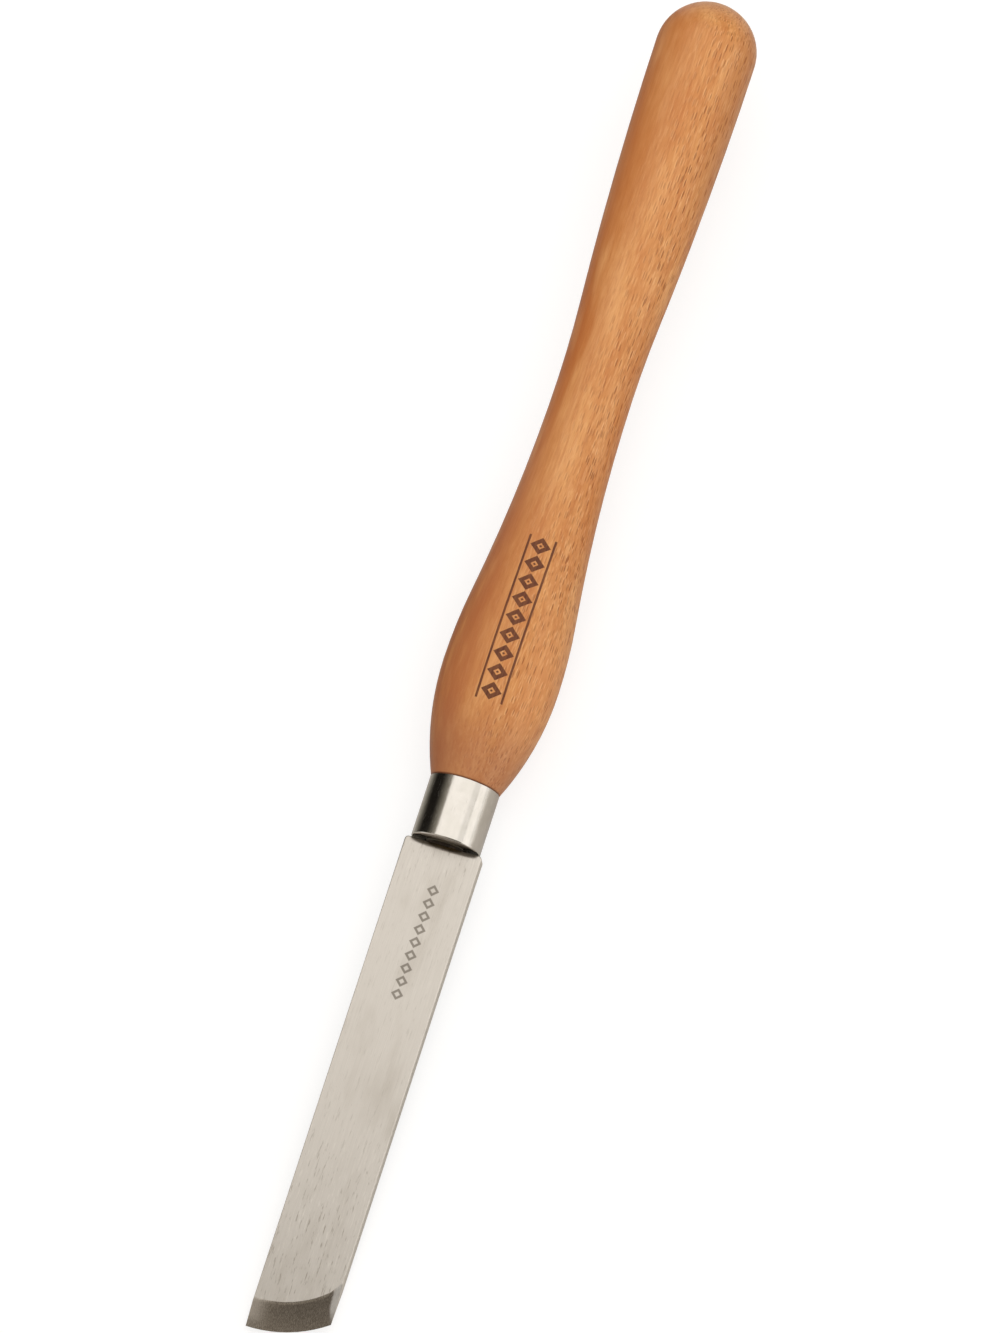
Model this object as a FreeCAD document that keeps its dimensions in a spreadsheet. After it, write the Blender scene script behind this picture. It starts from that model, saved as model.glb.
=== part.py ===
"""Radiused skew chisel for woodturning: steel blade and tang, ferrule, beech handle and adhesive.

The tool lies along X with the cutting edge towards +X. The blade's two flats face up and down, and
the long point of the skew is on the -Y side. Inside each sub-part x runs from the handle's butt end,
so all of them share one placement, which puts the origin below the middle of the tool's length.
"""

import FreeCAD, Part
import math
import os

import Sketcher


# Driving dimensions in millimetres
DIMENSIONS = {
    # Bar of tool steel
    "blade_width": 25.4,
    "blade_thickness": 6.35,
    "blade_length": 164.5,
    "blade_easing": 0.35,
    "shoulder_corner": 1.2,
    # Curved skew edge, ground from both faces
    "edge_arc_radius": 41.0,
    "edge_arc_inset": 1.0,
    "bevel_length": 9.0,
    "short_facet_inset": 2.8,
    "short_facet_setback": 1.3,
    # Tang
    "tang_length": 78.0,
    "tang_root_width": 12.0,
    "tang_end_width": 8.0,
    "tang_relief": 0.45,
    "tang_corner": 1.5,
    "tang_root_radius": 0.5,
    "tang_clearance": 0.2,
    # Ferrule
    "ferrule_diameter": 22.8,
    "ferrule_length": 20.5,
    "ferrule_wall": 1.5,
    "ferrule_cap": 2.0,
    "ferrule_front_round": 0.5,
    "ferrule_back_round": 0.2,
    "shoulder_gap": 0.6,
    # Turned handle
    "handle_length": 271.9,
    "neck_step": 0.15,
    "neck_round": 0.4,
    "swell_radius": 19.1,
    "swell_setback": 37.8,
    "waist_radius": 12.45,
    "waist_setback": 137.3,
    "butt_radius": 16.5,
    "tenon_clearance": 0.3,
    "tenon_fit": 0.05,
    "bore_relief": 2.0,
}

# How far along each turn of the handle's curve changes from one arc to the next
SWELL_ARC_SHARE = 0.231
WAIST_ARC_SHARE = 0.218

# Depth of the drill's point in the bore, as a share of the bore's radius
DRILL_POINT_SHARE = 0.6

# How far a cutting outline passes the face that it opens, as a share of the cut
OVERCUT_SHARE = 1.25

# Two places closer than this are the same place
SAME_PLACE = 1e-5

HALF_TURN = 180.0
FULL_TURN = 360.0


class Size:
    """A length with its number and the sheet formula that gives it, so that both stay alike."""

    def __init__(self, number, formula):
        self.number = number
        self.formula = formula

    def __add__(self, other):
        return Size(self.number + other.number, "(%s + %s)" % (self.formula, other.formula))

    def __sub__(self, other):
        return Size(self.number - other.number, "(%s - %s)" % (self.formula, other.formula))

    def __mul__(self, other):
        return Size(self.number * other.number, "(%s * %s)" % (self.formula, other.formula))

    def __truediv__(self, other):
        return Size(self.number / other.number, "(%s / %s)" % (self.formula, other.formula))

    def __neg__(self):
        return ZERO - self

    def share(self, share):
        return Size(self.number * share, "(%s * %.9g)" % (self.formula, share))

    def half(self):
        return self.share(0.5)

    def root(self):
        return Size(math.sqrt(self.number), "sqrt%s" % self.formula)


ZERO = Size(0.0, "0")


def slant(one_leg, other_leg):
    """The long side of a right-angled triangle."""
    return (one_leg * one_leg + other_leg * other_leg).root()


def leg(long_side, other_leg):
    """A short side of a right-angled triangle."""
    return (long_side * long_side - other_leg * other_leg).root()


def fill_sheet(doc):
    """Write the driving dimensions into the sheet and return them as sizes."""
    sheet = doc.addObject("Spreadsheet::Sheet", "Sizes")
    sizes = {}
    for row, (name, number) in enumerate(DIMENSIONS.items(), start=1):
        sheet.set("A%d" % row, name)
        sheet.set("B%d" % row, str(number))
        sheet.setAlias("B%d" % row, name)
        sizes[name] = Size(number, "Sizes.%s" % name)
    doc.recompute()
    return sizes


def derive_sizes(size):
    """Add the sizes that follow from the driving ones."""
    size["half_width"] = size["blade_width"].half()
    size["half_thickness"] = size["blade_thickness"].half()

    # The tang is ground thinner than the bar, so that each flat ends at the shoulder. Its section just
    # passes the ferrule's hole, and the handle is bored with the same drill
    size["tang_thickness"] = size["blade_thickness"] - size["tang_relief"] - size["tang_relief"]
    tang_diagonal = slant(size["tang_root_width"], size["tang_thickness"])
    size["bore_radius"] = tang_diagonal.half() + size["tang_clearance"]
    size["ferrule_radius"] = size["ferrule_diameter"].half()
    size["ferrule_inner_radius"] = size["ferrule_radius"] - size["ferrule_wall"]
    size["tenon_radius"] = size["ferrule_inner_radius"] - size["tenon_fit"]
    size["neck_radius"] = size["ferrule_radius"] - size["neck_step"]
    size["tenon_length"] = size["ferrule_length"] - size["ferrule_cap"] - size["tenon_clearance"]

    # Places along the tool, from the butt end
    size["ferrule_back"] = size["handle_length"]
    size["ferrule_front"] = size["ferrule_back"] + size["ferrule_length"]
    size["tenon_front"] = size["ferrule_back"] + size["tenon_length"]
    size["shoulder"] = size["ferrule_front"] + size["shoulder_gap"]
    size["tool_length"] = size["shoulder"] + size["blade_length"]
    size["bore_floor"] = size["shoulder"] - size["tang_length"] - size["bore_relief"]

    # Centre of the cutting edge's arc in the blade's plan
    size["arc_x"] = size["tool_length"] - size["edge_arc_radius"]
    size["arc_y"] = size["edge_arc_inset"] - size["half_width"]


def plane_of(body, role):
    """The body's own origin plane with this role."""
    for feature in body.Origin.OriginFeatures:
        if feature.Role == role:
            return feature
    raise ValueError("no plane %s" % role)


def new_body(doc, name, size):
    """A sub-part placed with the tool's origin below the middle of its length."""
    body = doc.addObject("PartDesign::Body", name)
    body.Label = name
    body.setExpression("Placement.Base.x", (-size["tool_length"].half()).formula)
    body.setExpression("Placement.Base.z", size["swell_radius"].formula)
    return body


def new_sketch(body, name, role):
    sketch = body.newObject("Sketcher::SketchObject", name)
    sketch.AttachmentSupport = [(plane_of(body, role), "")]
    sketch.MapMode = "FlatFace"
    return sketch


def pin_point(sketch, curve, end, place):
    """Tie one end of a curve to a place given by two sizes from the sketch's origin."""
    kinds = (("DistanceX", -2), ("DistanceY", -1))
    for (kind, axis), distance in zip(kinds, place):
        if distance is ZERO:
            sketch.addConstraint(Sketcher.Constraint("PointOnObject", curve, end, axis))
            continue
        ends = (-1, 1, curve, end)
        if distance.number < 0:
            ends = (curve, end, -1, 1)
            distance = -distance
        tie = sketch.addConstraint(Sketcher.Constraint(kind, *ends, distance.number))
        sketch.setExpression("Constraints[%d]" % tie, distance.formula)


def arc_between(start, end, centre_x):
    """The arc through two points whose centre has this x, going the short way round."""
    x1, y1 = start[0].number, start[1].number
    x2, y2 = end[0].number, end[1].number
    x0 = centre_x.number
    y0 = ((x1 - x0) ** 2 - (x2 - x0) ** 2 + y1 ** 2 - y2 ** 2) / (2 * (y1 - y2))
    radius = math.hypot(x1 - x0, y1 - y0)
    angle_1 = math.atan2(y1 - y0, x1 - x0)
    angle_2 = math.atan2(y2 - y0, x2 - x0)
    forward = (angle_2 - angle_1) % (2 * math.pi) < math.pi
    first, last = (angle_1, angle_2) if forward else (angle_2, angle_1)
    circle = Part.Circle(FreeCAD.Vector(x0, y0, 0), FreeCAD.Vector(0, 0, 1), radius)
    return Part.ArcOfCircle(circle, first, last), forward


def draw_outline(sketch, corners, centres=None):
    """Draw a closed outline through the corners, with an arc where a side has a centre's x."""
    centres = centres or {}
    ends = []
    for number, start in enumerate(corners):
        finish = corners[(number + 1) % len(corners)]
        if number in centres:
            shape, forward = arc_between(start, finish, centres[number])
            curve = sketch.addGeometry(shape, False)
            ends.append((curve, 1, 2) if forward else (curve, 2, 1))
        else:
            points = [FreeCAD.Vector(x.number, y.number, 0) for x, y in (start, finish)]
            curve = sketch.addGeometry(Part.LineSegment(*points), False)
            ends.append((curve, 1, 2))
    for number, (curve, first, last) in enumerate(ends):
        following, its_first, its_last = ends[(number + 1) % len(ends)]
        sketch.addConstraint(Sketcher.Constraint("Coincident", curve, last, following, its_first))
        pin_point(sketch, curve, first, corners[number])
    for number, centre_x in centres.items():
        curve = ends[number][0]
        tie = sketch.addConstraint(Sketcher.Constraint("DistanceX", -1, 1, curve, 3, centre_x.number))
        sketch.setExpression("Constraints[%d]" % tie, centre_x.formula)


def revolve(body, kind, name, sketch, axis, angle=FULL_TURN):
    """Turn a sketch about one of its own axes, to add or to cut."""
    feature = body.newObject("PartDesign::%s" % kind, name)
    feature.Profile = sketch
    feature.ReferenceAxis = (sketch, [axis])
    feature.Angle = angle
    feature.Midplane = angle < FULL_TURN
    return feature


def extrude(body, kind, name, sketch, length=None):
    """Push a sketch both ways by half the length, or right through where none is given."""
    feature = body.newObject("PartDesign::%s" % kind, name)
    feature.Profile = sketch
    feature.SideType = "Symmetric"
    if length is None:
        feature.Type = "ThroughAll"
    else:
        feature.setExpression("Length", length.formula)
    return feature


def round_edges(doc, body, name, radius, wanted):
    """Round the edges of the body's last feature for which wanted(edge) is true."""
    doc.recompute()
    base = body.Tip
    edges = ["Edge%d" % number for number, edge in enumerate(base.Shape.Edges, start=1) if wanted(edge)]
    feature = body.newObject("PartDesign::Fillet", name)
    feature.Base = (base, edges)
    feature.setExpression("Radius", radius.formula)
    return feature


def near(one, other):
    return abs(one - other) < SAME_PLACE


def is_ring(edge, x, radius):
    """Whether an edge is a circle about the tool's axis at this place."""
    if edge.Degenerated or not isinstance(edge.Curve, Part.Circle):
        return False
    return near(edge.Curve.Center.x, x.number) and near(edge.Curve.Radius, radius.number)


def is_upright(edge, x, y):
    """Whether an edge stands across the bar at this place in its plan, on either side."""
    start, end = edge.Vertexes[0].Point, edge.Vertexes[-1].Point
    stands = near(start.x, end.x) and near(start.y, end.y) and not near(start.z, end.z)
    return stands and near(start.x, x.number) and near(abs(start.y), y.number)


def part_way(start, finish, share):
    """The place that lies this share of the way from start to finish."""
    return tuple(a + (b - a).share(share) for a, b in zip(start, finish))


def is_long_edge(edge, y, z):
    """Whether an edge runs along the bar's outermost corners."""
    ends = [vertex.Point for vertex in edge.Vertexes]
    return all(near(abs(end.y), y.number) and near(abs(end.z), z.number) for end in ends)


def build_handle(doc, size):
    """Turned beech: round butt, slim waist, swell, neck and the tenon that carries the ferrule."""
    body = new_body(doc, "handle", size)

    tail = (size["butt_radius"], size["butt_radius"])
    waist = (size["handle_length"] - size["waist_setback"], size["waist_radius"])
    swell = (size["handle_length"] - size["swell_setback"], size["swell_radius"])
    tail_turn = part_way(waist, tail, WAIST_ARC_SHARE)
    swell_turn = part_way(swell, waist, SWELL_ARC_SHARE)
    corners = [
        (ZERO, ZERO),
        tail,
        tail_turn,
        waist,
        swell_turn,
        swell,
        (size["ferrule_back"], size["neck_radius"]),
        (size["ferrule_back"], size["tenon_radius"]),
        (size["tenon_front"], size["tenon_radius"]),
        (size["tenon_front"], ZERO),
    ]
    centres = {0: tail[0], 1: tail[0], 2: waist[0], 3: waist[0], 4: swell[0], 5: swell[0]}
    profile = new_sketch(body, "handle_profile", "XZ_Plane")
    draw_outline(profile, corners, centres)
    revolve(body, "Revolution", "turned_wood", profile, "H_Axis")

    round_edges(doc, body, "neck_rounding", size["neck_round"],
                lambda edge: is_ring(edge, size["ferrule_back"], size["neck_radius"]))

    bore = new_sketch(body, "bore_profile", "XZ_Plane")
    draw_bore(bore, size, size["ferrule_front"])
    revolve(body, "Groove", "tang_bore", bore, "H_Axis")
    return body


def draw_bore(sketch, size, mouth):
    """Half section of the drilled bore, from the drill's point to this mouth."""
    point_depth = size["bore_radius"].share(DRILL_POINT_SHARE)
    draw_outline(sketch, [
        (size["bore_floor"] - point_depth, ZERO),
        (size["bore_floor"], size["bore_radius"]),
        (mouth, size["bore_radius"]),
        (mouth, ZERO),
    ])


def build_ferrule(doc, size):
    """Steel cup with a hole for the tang in its end wall."""
    body = new_body(doc, "ferrule", size)
    cap_back = size["ferrule_front"] - size["ferrule_cap"]
    profile = new_sketch(body, "ferrule_profile", "XZ_Plane")
    draw_outline(profile, [
        (size["ferrule_back"], size["ferrule_inner_radius"]),
        (size["ferrule_back"], size["ferrule_radius"]),
        (size["ferrule_front"], size["ferrule_radius"]),
        (size["ferrule_front"], size["bore_radius"]),
        (cap_back, size["bore_radius"]),
        (cap_back, size["ferrule_inner_radius"]),
    ])
    revolve(body, "Revolution", "cup", profile, "H_Axis")
    round_edges(doc, body, "front_rounding", size["ferrule_front_round"],
                lambda edge: is_ring(edge, size["ferrule_front"], size["ferrule_radius"]))
    round_edges(doc, body, "back_rounding", size["ferrule_back_round"],
                lambda edge: is_ring(edge, size["ferrule_back"], size["ferrule_radius"]))
    return body


def draw_bevel_cut(sketch, size, edge_at, run):
    """Everything past a double bevel: the edge at mid thickness, each heel this far behind it."""
    outside = edge_at + size["blade_width"]
    heel = edge_at - run.share(OVERCUT_SHARE)
    height = size["half_thickness"].share(OVERCUT_SHARE)
    draw_outline(sketch, [
        (edge_at, ZERO),
        (heel, height),
        (outside, height),
        (outside, -height),
        (heel, -height),
    ])


def stand_sketch(sketch, x, y, heading="0"):
    """Stand an upright sketch at this place in the blade's plan, turned from +X by this heading."""
    upright = FreeCAD.Vector(0, 1, 0)
    sketch.AttachmentOffset = FreeCAD.Placement(FreeCAD.Vector(), FreeCAD.Rotation(upright, 0))
    sketch.setExpression("AttachmentOffset.Base.x", x.formula)
    sketch.setExpression("AttachmentOffset.Base.z", (-y).formula)
    sketch.setExpression("AttachmentOffset.Rotation.Angle", heading)


def tang_outline(size):
    """Half of the tang's plan, from its end to the shoulder."""
    tang_end = size["shoulder"] - size["tang_length"]
    return [(tang_end, size["tang_end_width"].half()), (size["shoulder"], size["tang_root_width"].half())]


def mirrored(half_outline):
    """Close a half outline with its mirror image about the tool's axis."""
    return half_outline + [(x, -y) for x, y in reversed(half_outline)]


def build_blade(doc, size):
    """Flat bar with a shouldered tang, eased edges, double bevel and short-corner facets."""
    body = new_body(doc, "blade", size)

    # Bar, a little longer than the finished blade, and the tang behind its shoulder
    blank_end = size["tool_length"] + size["half_thickness"]
    bar_plan = new_sketch(body, "bar_plan", "XY_Plane")
    bar_half = [(size["shoulder"], size["half_width"]), (blank_end, size["half_width"])]
    draw_outline(bar_plan, mirrored(bar_half))
    extrude(body, "Pad", "bar", bar_plan, size["blade_thickness"])
    tang_plan = new_sketch(body, "tang_plan", "XY_Plane")
    draw_outline(tang_plan, mirrored(tang_outline(size)))
    extrude(body, "Pad", "tang", tang_plan, size["tang_thickness"])

    tang_end = size["shoulder"] - size["tang_length"]
    tang_end_half = size["tang_end_width"].half()
    tang_root_half = size["tang_root_width"].half()
    round_edges(doc, body, "shoulder_corners", size["shoulder_corner"],
                lambda edge: is_upright(edge, size["shoulder"], size["half_width"]))
    round_edges(doc, body, "tang_roots", size["tang_root_radius"],
                lambda edge: is_upright(edge, size["shoulder"], tang_root_half))
    round_edges(doc, body, "tang_corners", size["tang_corner"],
                lambda edge: is_upright(edge, tang_end, tang_end_half))

    # Ease the long edges, and with them the shoulder's edges that run on from them round each flat
    round_edges(doc, body, "eased_edges", size["blade_easing"],
                lambda edge: is_long_edge(edge, size["half_width"], size["half_thickness"]))

    # Main bevels, cones about the centre of the edge's arc
    section = new_sketch(body, "bevel_section", "XZ_Plane")
    stand_sketch(section, size["arc_x"], size["arc_y"])
    draw_bevel_cut(section, size, size["edge_arc_radius"], size["bevel_length"])
    revolve(body, "Groove", "bevels", section, "V_Axis", HALF_TURN)

    # Facet at the short corner, from the heel line out to the end of the cutting edge
    heel_radius = size["edge_arc_radius"] - size["bevel_length"]
    side_drop = size["half_width"] - size["arc_y"]
    inner_x = leg(heel_radius, side_drop - size["short_facet_inset"])
    outer_x = leg(heel_radius, side_drop) - size["short_facet_setback"]
    corner_x = leg(size["edge_arc_radius"], side_drop)
    setback = inner_x - outer_x
    heading = "atan2(%s; %s)" % (setback.formula, size["short_facet_inset"].formula)
    heel_line = slant(setback, size["short_facet_inset"])
    facet_run = (corner_x - outer_x) * size["short_facet_inset"] / heel_line
    facet = new_sketch(body, "facet_section", "XZ_Plane")
    stand_sketch(facet, size["arc_x"] + corner_x, size["half_width"], heading)
    draw_bevel_cut(facet, size, ZERO, facet_run)
    extrude(body, "Pocket", "short_corner_facets", facet)
    return body


def build_epoxy(doc, size):
    """Hardened adhesive that fills the bore round the tang."""
    body = new_body(doc, "tang_epoxy", size)
    bore = new_sketch(body, "filling_profile", "XZ_Plane")
    draw_bore(bore, size, size["tenon_front"])
    revolve(body, "Revolution", "filling", bore, "H_Axis")
    plan = new_sketch(body, "tang_space_plan", "XY_Plane")
    draw_outline(plan, mirrored(tang_outline(size)))
    extrude(body, "Pocket", "tang_space", plan, size["tang_thickness"])
    return body


def check_model(doc, bodies):
    """Stop before anything is written if a feature failed or a shape isn't one sound solid."""
    for item in doc.Objects:
        if "Invalid" in item.State or "Error" in item.State:
            raise RuntimeError("%s is %s" % (item.Label, item.State))
    for body in bodies:
        shape = body.Shape
        if shape.isNull() or not shape.isValid() or len(shape.Solids) != 1:
            raise RuntimeError("%s has no single valid solid" % body.Label)


def main():
    doc = FreeCAD.newDocument("skew_chisel")
    size = fill_sheet(doc)
    derive_sizes(size)
    builders = (build_blade, build_ferrule, build_handle, build_epoxy)
    bodies = [build(doc, size) for build in builders]
    doc.recompute()
    check_model(doc, bodies)

    os.makedirs("parts", exist_ok=True)
    for body in bodies:
        body.Shape.exportStep("parts/%s.step" % body.Label)
        print("%s: %.1f cubic mm" % (body.Label, body.Shape.Volume))


main()
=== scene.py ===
# %% [markdown]
# # A skew chisel in Blender
# The tool is a woodturner's skew chisel: a flat bar of high-speed steel with a curved, slanted
# edge, a polished ferrule and a turned beech handle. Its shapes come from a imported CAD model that
# is loaded as a fixed frame, so this lesson is about what Blender adds: where the camera stood,
# how the light falls, and what each surface is made of.

import math

import bpy
from mathutils import Matrix, Vector


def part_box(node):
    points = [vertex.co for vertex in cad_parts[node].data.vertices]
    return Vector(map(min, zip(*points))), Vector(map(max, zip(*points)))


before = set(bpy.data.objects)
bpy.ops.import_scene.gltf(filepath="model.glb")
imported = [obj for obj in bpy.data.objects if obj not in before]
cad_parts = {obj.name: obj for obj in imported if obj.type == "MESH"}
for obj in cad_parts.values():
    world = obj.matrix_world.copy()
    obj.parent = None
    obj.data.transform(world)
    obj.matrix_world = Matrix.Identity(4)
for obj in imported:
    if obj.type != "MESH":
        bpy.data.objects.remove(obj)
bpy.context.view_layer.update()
blade, ferrule, handle, adhesive = (
    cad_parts[name] for name in ("blade", "ferrule", "handle", "tang_epoxy")
)

# %% [markdown]
# ## Measures
# Blender works in metres and makers of tools in millimetres, so one factor turns the one into the
# other. X runs along the tool to its tip, Y to its right side and Z up. Most places that the
# materials need are read from the CAD pieces, which keeps them right if a piece changes. Two
# sizes, the gap between the ferrule and the shoulder and the length of the bevel, can't be read
# from a box and are copied from the list of sizes that the CAD model is built on.

# %% Measures
MM = 0.001
SHOULDER_GAP = 0.6
BEVEL_LENGTH = 9.0

handle_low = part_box("handle")[0]
ferrule_low, ferrule_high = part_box("ferrule")
blade_low, blade_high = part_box("blade")
BUTT_X = handle_low.x / MM
JOINT_X = ferrule_low.x / MM
SHOULDER_X = ferrule_high.x / MM + SHOULDER_GAP
TIP_X = blade_high.x / MM
AXIS_HEIGHT = (ferrule_low.z + ferrule_high.z) / 2 / MM
HALF_WIDTH = blade_high.y / MM
HALF_THICKNESS = (blade_high.z - blade_low.z) / 2 / MM
print("joint at", round(JOINT_X, 2), "shoulder at", round(SHOULDER_X, 2), "tip at", round(TIP_X, 2))

# %% [markdown]
# ## Helpers
# Colours are picked as the hex codes that a colour picker gives, which are sRGB. Shaders count in
# linear light, so one function turns the one into the other. Another adds a shader node: its own
# settings go in by name, and each input, by its name or its number, takes either a value or
# another node's output. A third begins a material with nothing in it.

# %% Helpers
def linear(hex_code):
    """The linear colour of an sRGB hex code such as #D9A066."""
    channels = [int(hex_code[i:i + 2], 16) / 255 for i in (1, 3, 5)]
    channels = [c / 12.92 if c <= 0.04045 else ((c + 0.055) / 1.055) ** 2.4 for c in channels]
    return (*channels, 1.0)


def add(tree, kind, inputs=None, **settings):
    """Add a node with these settings, its inputs set to values or linked to outputs."""
    node = tree.nodes.new(kind)
    for name, value in settings.items():
        setattr(node, name, value)
    for key, value in (inputs or {}).items():
        if isinstance(value, bpy.types.NodeSocket):
            tree.links.new(value, node.inputs[key])
        else:
            node.inputs[key].default_value = value
    return node


def new_material(name):
    """A named material and its tree of nodes, which is empty."""
    material = bpy.data.materials.new(name)
    material.use_nodes = True
    material.node_tree.nodes.clear()
    return material, material.node_tree


print("the middle grey #808080 is", round(linear("#808080")[0], 3), "in linear light")

# %% [markdown]
# A finish is seldom the same all over a piece: wear lies at one end, a stain where hands were.
# How far such a thing holds is an amount from 0 to 1. The first helper turns a range of a value
# into an amount that rises smoothly, and multiplies amounts, so that the result holds only where
# all of them do. The second takes the larger of two amounts, so that one of them is enough. The
# third adds layers up, each an amount times a figure, and makes a relief or a roughness that way.

# %% Where something holds
def where(tree, *bounds):
    """How far all the bounds hold. Each is an amount, or a value, where it begins, where it is
    full, and its most."""
    amount = None
    for bound in bounds:
        if isinstance(bound, tuple):
            value, begins, full, most = (*bound, 1.0)[:4]
            bound = add(tree, "ShaderNodeMapRange", {
                "Value": value, "From Min": begins, "From Max": full, "To Min": 0.0, "To Max": most,
            }, interpolation_type="SMOOTHSTEP").outputs["Result"]
        if amount is None:
            amount = bound
        else:
            both = add(tree, "ShaderNodeMath", {0: amount, 1: bound}, operation="MULTIPLY")
            amount = both.outputs[0]
    return amount


def either(tree, first, second):
    """The larger of two amounts."""
    return add(tree, "ShaderNodeMath", {0: first, 1: second}, operation="MAXIMUM").outputs[0]


def built_up(tree, start, *layers):
    """The start with layers added to it, each as far as its own bounds hold."""
    for layer in layers:
        start = add(tree, "ShaderNodeMath", {0: start, 1: where(tree, *layer)}).outputs[0]
    return start


QUARTER = 0.25
print("a quarter of the way up its range, an amount is", QUARTER ** 2 * (3 - 2 * QUARTER))

# %% [markdown]
# ## Camera
# The photograph was taken from far away with a long lens, a little in front of the tool's middle
# and to its right, and the camera was rolled so that the tip points down and to the left. A
# camera could be placed by eye, but metal mirrors other lamps from every other place. So its
# distance was worked out from how the handle and the blade narrow in the picture.

# %% Camera
FRAME_LONG_SIDE_PX = 1333
FOCAL_LENGTH_PX = 10000
SENSOR_MM = 36.0
SIGHT_LIMIT = 20.0
camera_place = Vector((0.763, 0.4004, 3.070))
camera_aim = Vector((0.0025, -0.0013, 0.0191))

# Direction of the tool's axis in the picture, to the right and up
TIP_RIGHT, TIP_UP = -0.31166, -0.95020

backwards = (camera_place - camera_aim).normalized()
along_tool = Vector((1, 0, 0))
along_tool = (along_tool - along_tool.dot(backwards) * backwards).normalized()
across_tool = backwards.cross(along_tool)
to_right = TIP_RIGHT * along_tool - TIP_UP * across_tool
upwards = TIP_UP * along_tool + TIP_RIGHT * across_tool

camera = bpy.data.objects.new("camera", bpy.data.cameras.new("camera"))
bpy.context.scene.collection.objects.link(camera)
camera.data.sensor_width = SENSOR_MM
camera.data.lens = FOCAL_LENGTH_PX / FRAME_LONG_SIDE_PX * SENSOR_MM
camera.data.clip_end = SIGHT_LIMIT
camera.matrix_world = Matrix.Translation(camera_place) @ Matrix(
    (to_right, upwards, backwards)
).transposed().to_4x4()
bpy.context.scene.camera = camera
print("lens of", round(camera.data.lens, 1), "mm")

# %% [markdown]
# ## Table
# A chisel that is put down rests on the swell of its handle and on the lower heel of its bevel,
# so its tip hangs lower than its axis says. The tool could be tilted to show that, but a CAD frame
# keeps its place, with the axis level. So it is the table that slopes up towards the tip, by the
# same few degrees. The slope comes from the two points of contact: the heel, and the lowest line
# of the handle, which is found in a narrow strip of its mesh.

# %% Table
TABLE_SIZE = 30.0
PROFILE_HALF_STRIP = 0.5 * MM

heel = Vector((TIP_X - BEVEL_LENGTH, 0, AXIS_HEIGHT - HALF_THICKNESS)) * MM
profile = [v.co for v in handle.data.vertices if abs(v.co.y) < PROFILE_HALF_STRIP]
slope = max(math.atan2(heel.z - p.z, heel.x - p.x) for p in profile)

bpy.ops.mesh.primitive_plane_add(size=TABLE_SIZE, location=heel, rotation=(0, -slope, 0))
table = bpy.context.object
table.name = "table"
print("table slopes", round(math.degrees(slope), 2), "degrees")

# %% [markdown]
# The table is a sheet of pale matt card. In the photograph it is pure white, which would take far
# more light than the tool can stand. So only the camera sees the card brightened: part of what it
# sees is the card with the tool's shadow on it, and part is plain white. Away from the tool the
# white takes over, as a sheet of card does where it sweeps up to the lamps, and polished metal
# mirrors a little of that. All other rays meet the card itself, so it throws no extra light on
# the tool. From below, the camera looks through the card, so that the underside can be seen.

# %% Matt card for the table
CARD_ROUGHNESS = 0.4
WHITE_FROM, WHITE_TO, WHITE_LEAST = 0.28, 0.90, 0.73
SWEEP_FROM, SWEEP_TO, SWEEP_MOST = 0.15, 0.80, 0.55

card, tree = new_material("pale_matt_card")
to_table = table.matrix_world.inverted()
ray = add(tree, "ShaderNodeLightPath").outputs
from_tool = add(tree, "ShaderNodeVectorMath", {
    0: add(tree, "ShaderNodeTexCoord").outputs["Object"], 1: to_table.translation,
}, operation="DISTANCE").outputs["Value"]
white = add(tree, "ShaderNodeMapRange", {
    "Value": from_tool, "From Min": WHITE_FROM, "From Max": WHITE_TO,
    "To Min": WHITE_LEAST, "To Max": 1.0,
}).outputs["Result"]
sweep = add(tree, "ShaderNodeMapRange", {
    "Value": from_tool, "From Min": SWEEP_FROM, "From Max": SWEEP_TO,
    "To Min": 0.0, "To Max": SWEEP_MOST,
}).outputs["Result"]
brightened = add(tree, "ShaderNodeAddShader", {
    0: add(tree, "ShaderNodeBsdfDiffuse", {
        "Color": linear("#A5A4A2"), "Roughness": CARD_ROUGHNESS,
    }).outputs["BSDF"],
    1: add(tree, "ShaderNodeEmission", {
        "Color": linear("#FFFFFF"), "Strength": white,
    }).outputs["Emission"],
})
card_and_sweep = add(tree, "ShaderNodeAddShader", {
    0: add(tree, "ShaderNodeBsdfDiffuse", {
        "Color": linear("#D2D0CC"), "Roughness": CARD_ROUGHNESS,
    }).outputs["BSDF"],
    1: add(tree, "ShaderNodeEmission", {
        "Color": linear("#FFFAF4"), "Strength": where(tree, sweep, ray["Is Glossy Ray"]),
    }).outputs["Emission"],
})
print("the camera's card is plain white from", WHITE_TO, "m off the tool")

# %% [markdown]
# What a ray meets depends on where it comes from, so two mixes choose for it: first between the
# brightened card and the card itself, then between the card and nothing at all, which is what the
# camera sees from below.

# %% Matt card: what each ray meets
seen = add(tree, "ShaderNodeMixShader", {
    0: ray["Is Camera Ray"],
    1: card_and_sweep.outputs["Shader"],
    2: brightened.outputs["Shader"],
})
back = add(tree, "ShaderNodeNewGeometry").outputs["Backfacing"]
either_side = add(tree, "ShaderNodeMixShader", {
    0: where(tree, back, ray["Is Camera Ray"]),
    1: seen.outputs["Shader"],
    2: add(tree, "ShaderNodeBsdfTransparent").outputs["BSDF"],
})
add(tree, "ShaderNodeOutputMaterial", {"Surface": either_side.outputs["Shader"]})
table.data.materials.append(card)
print("table is", card.name)

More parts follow.
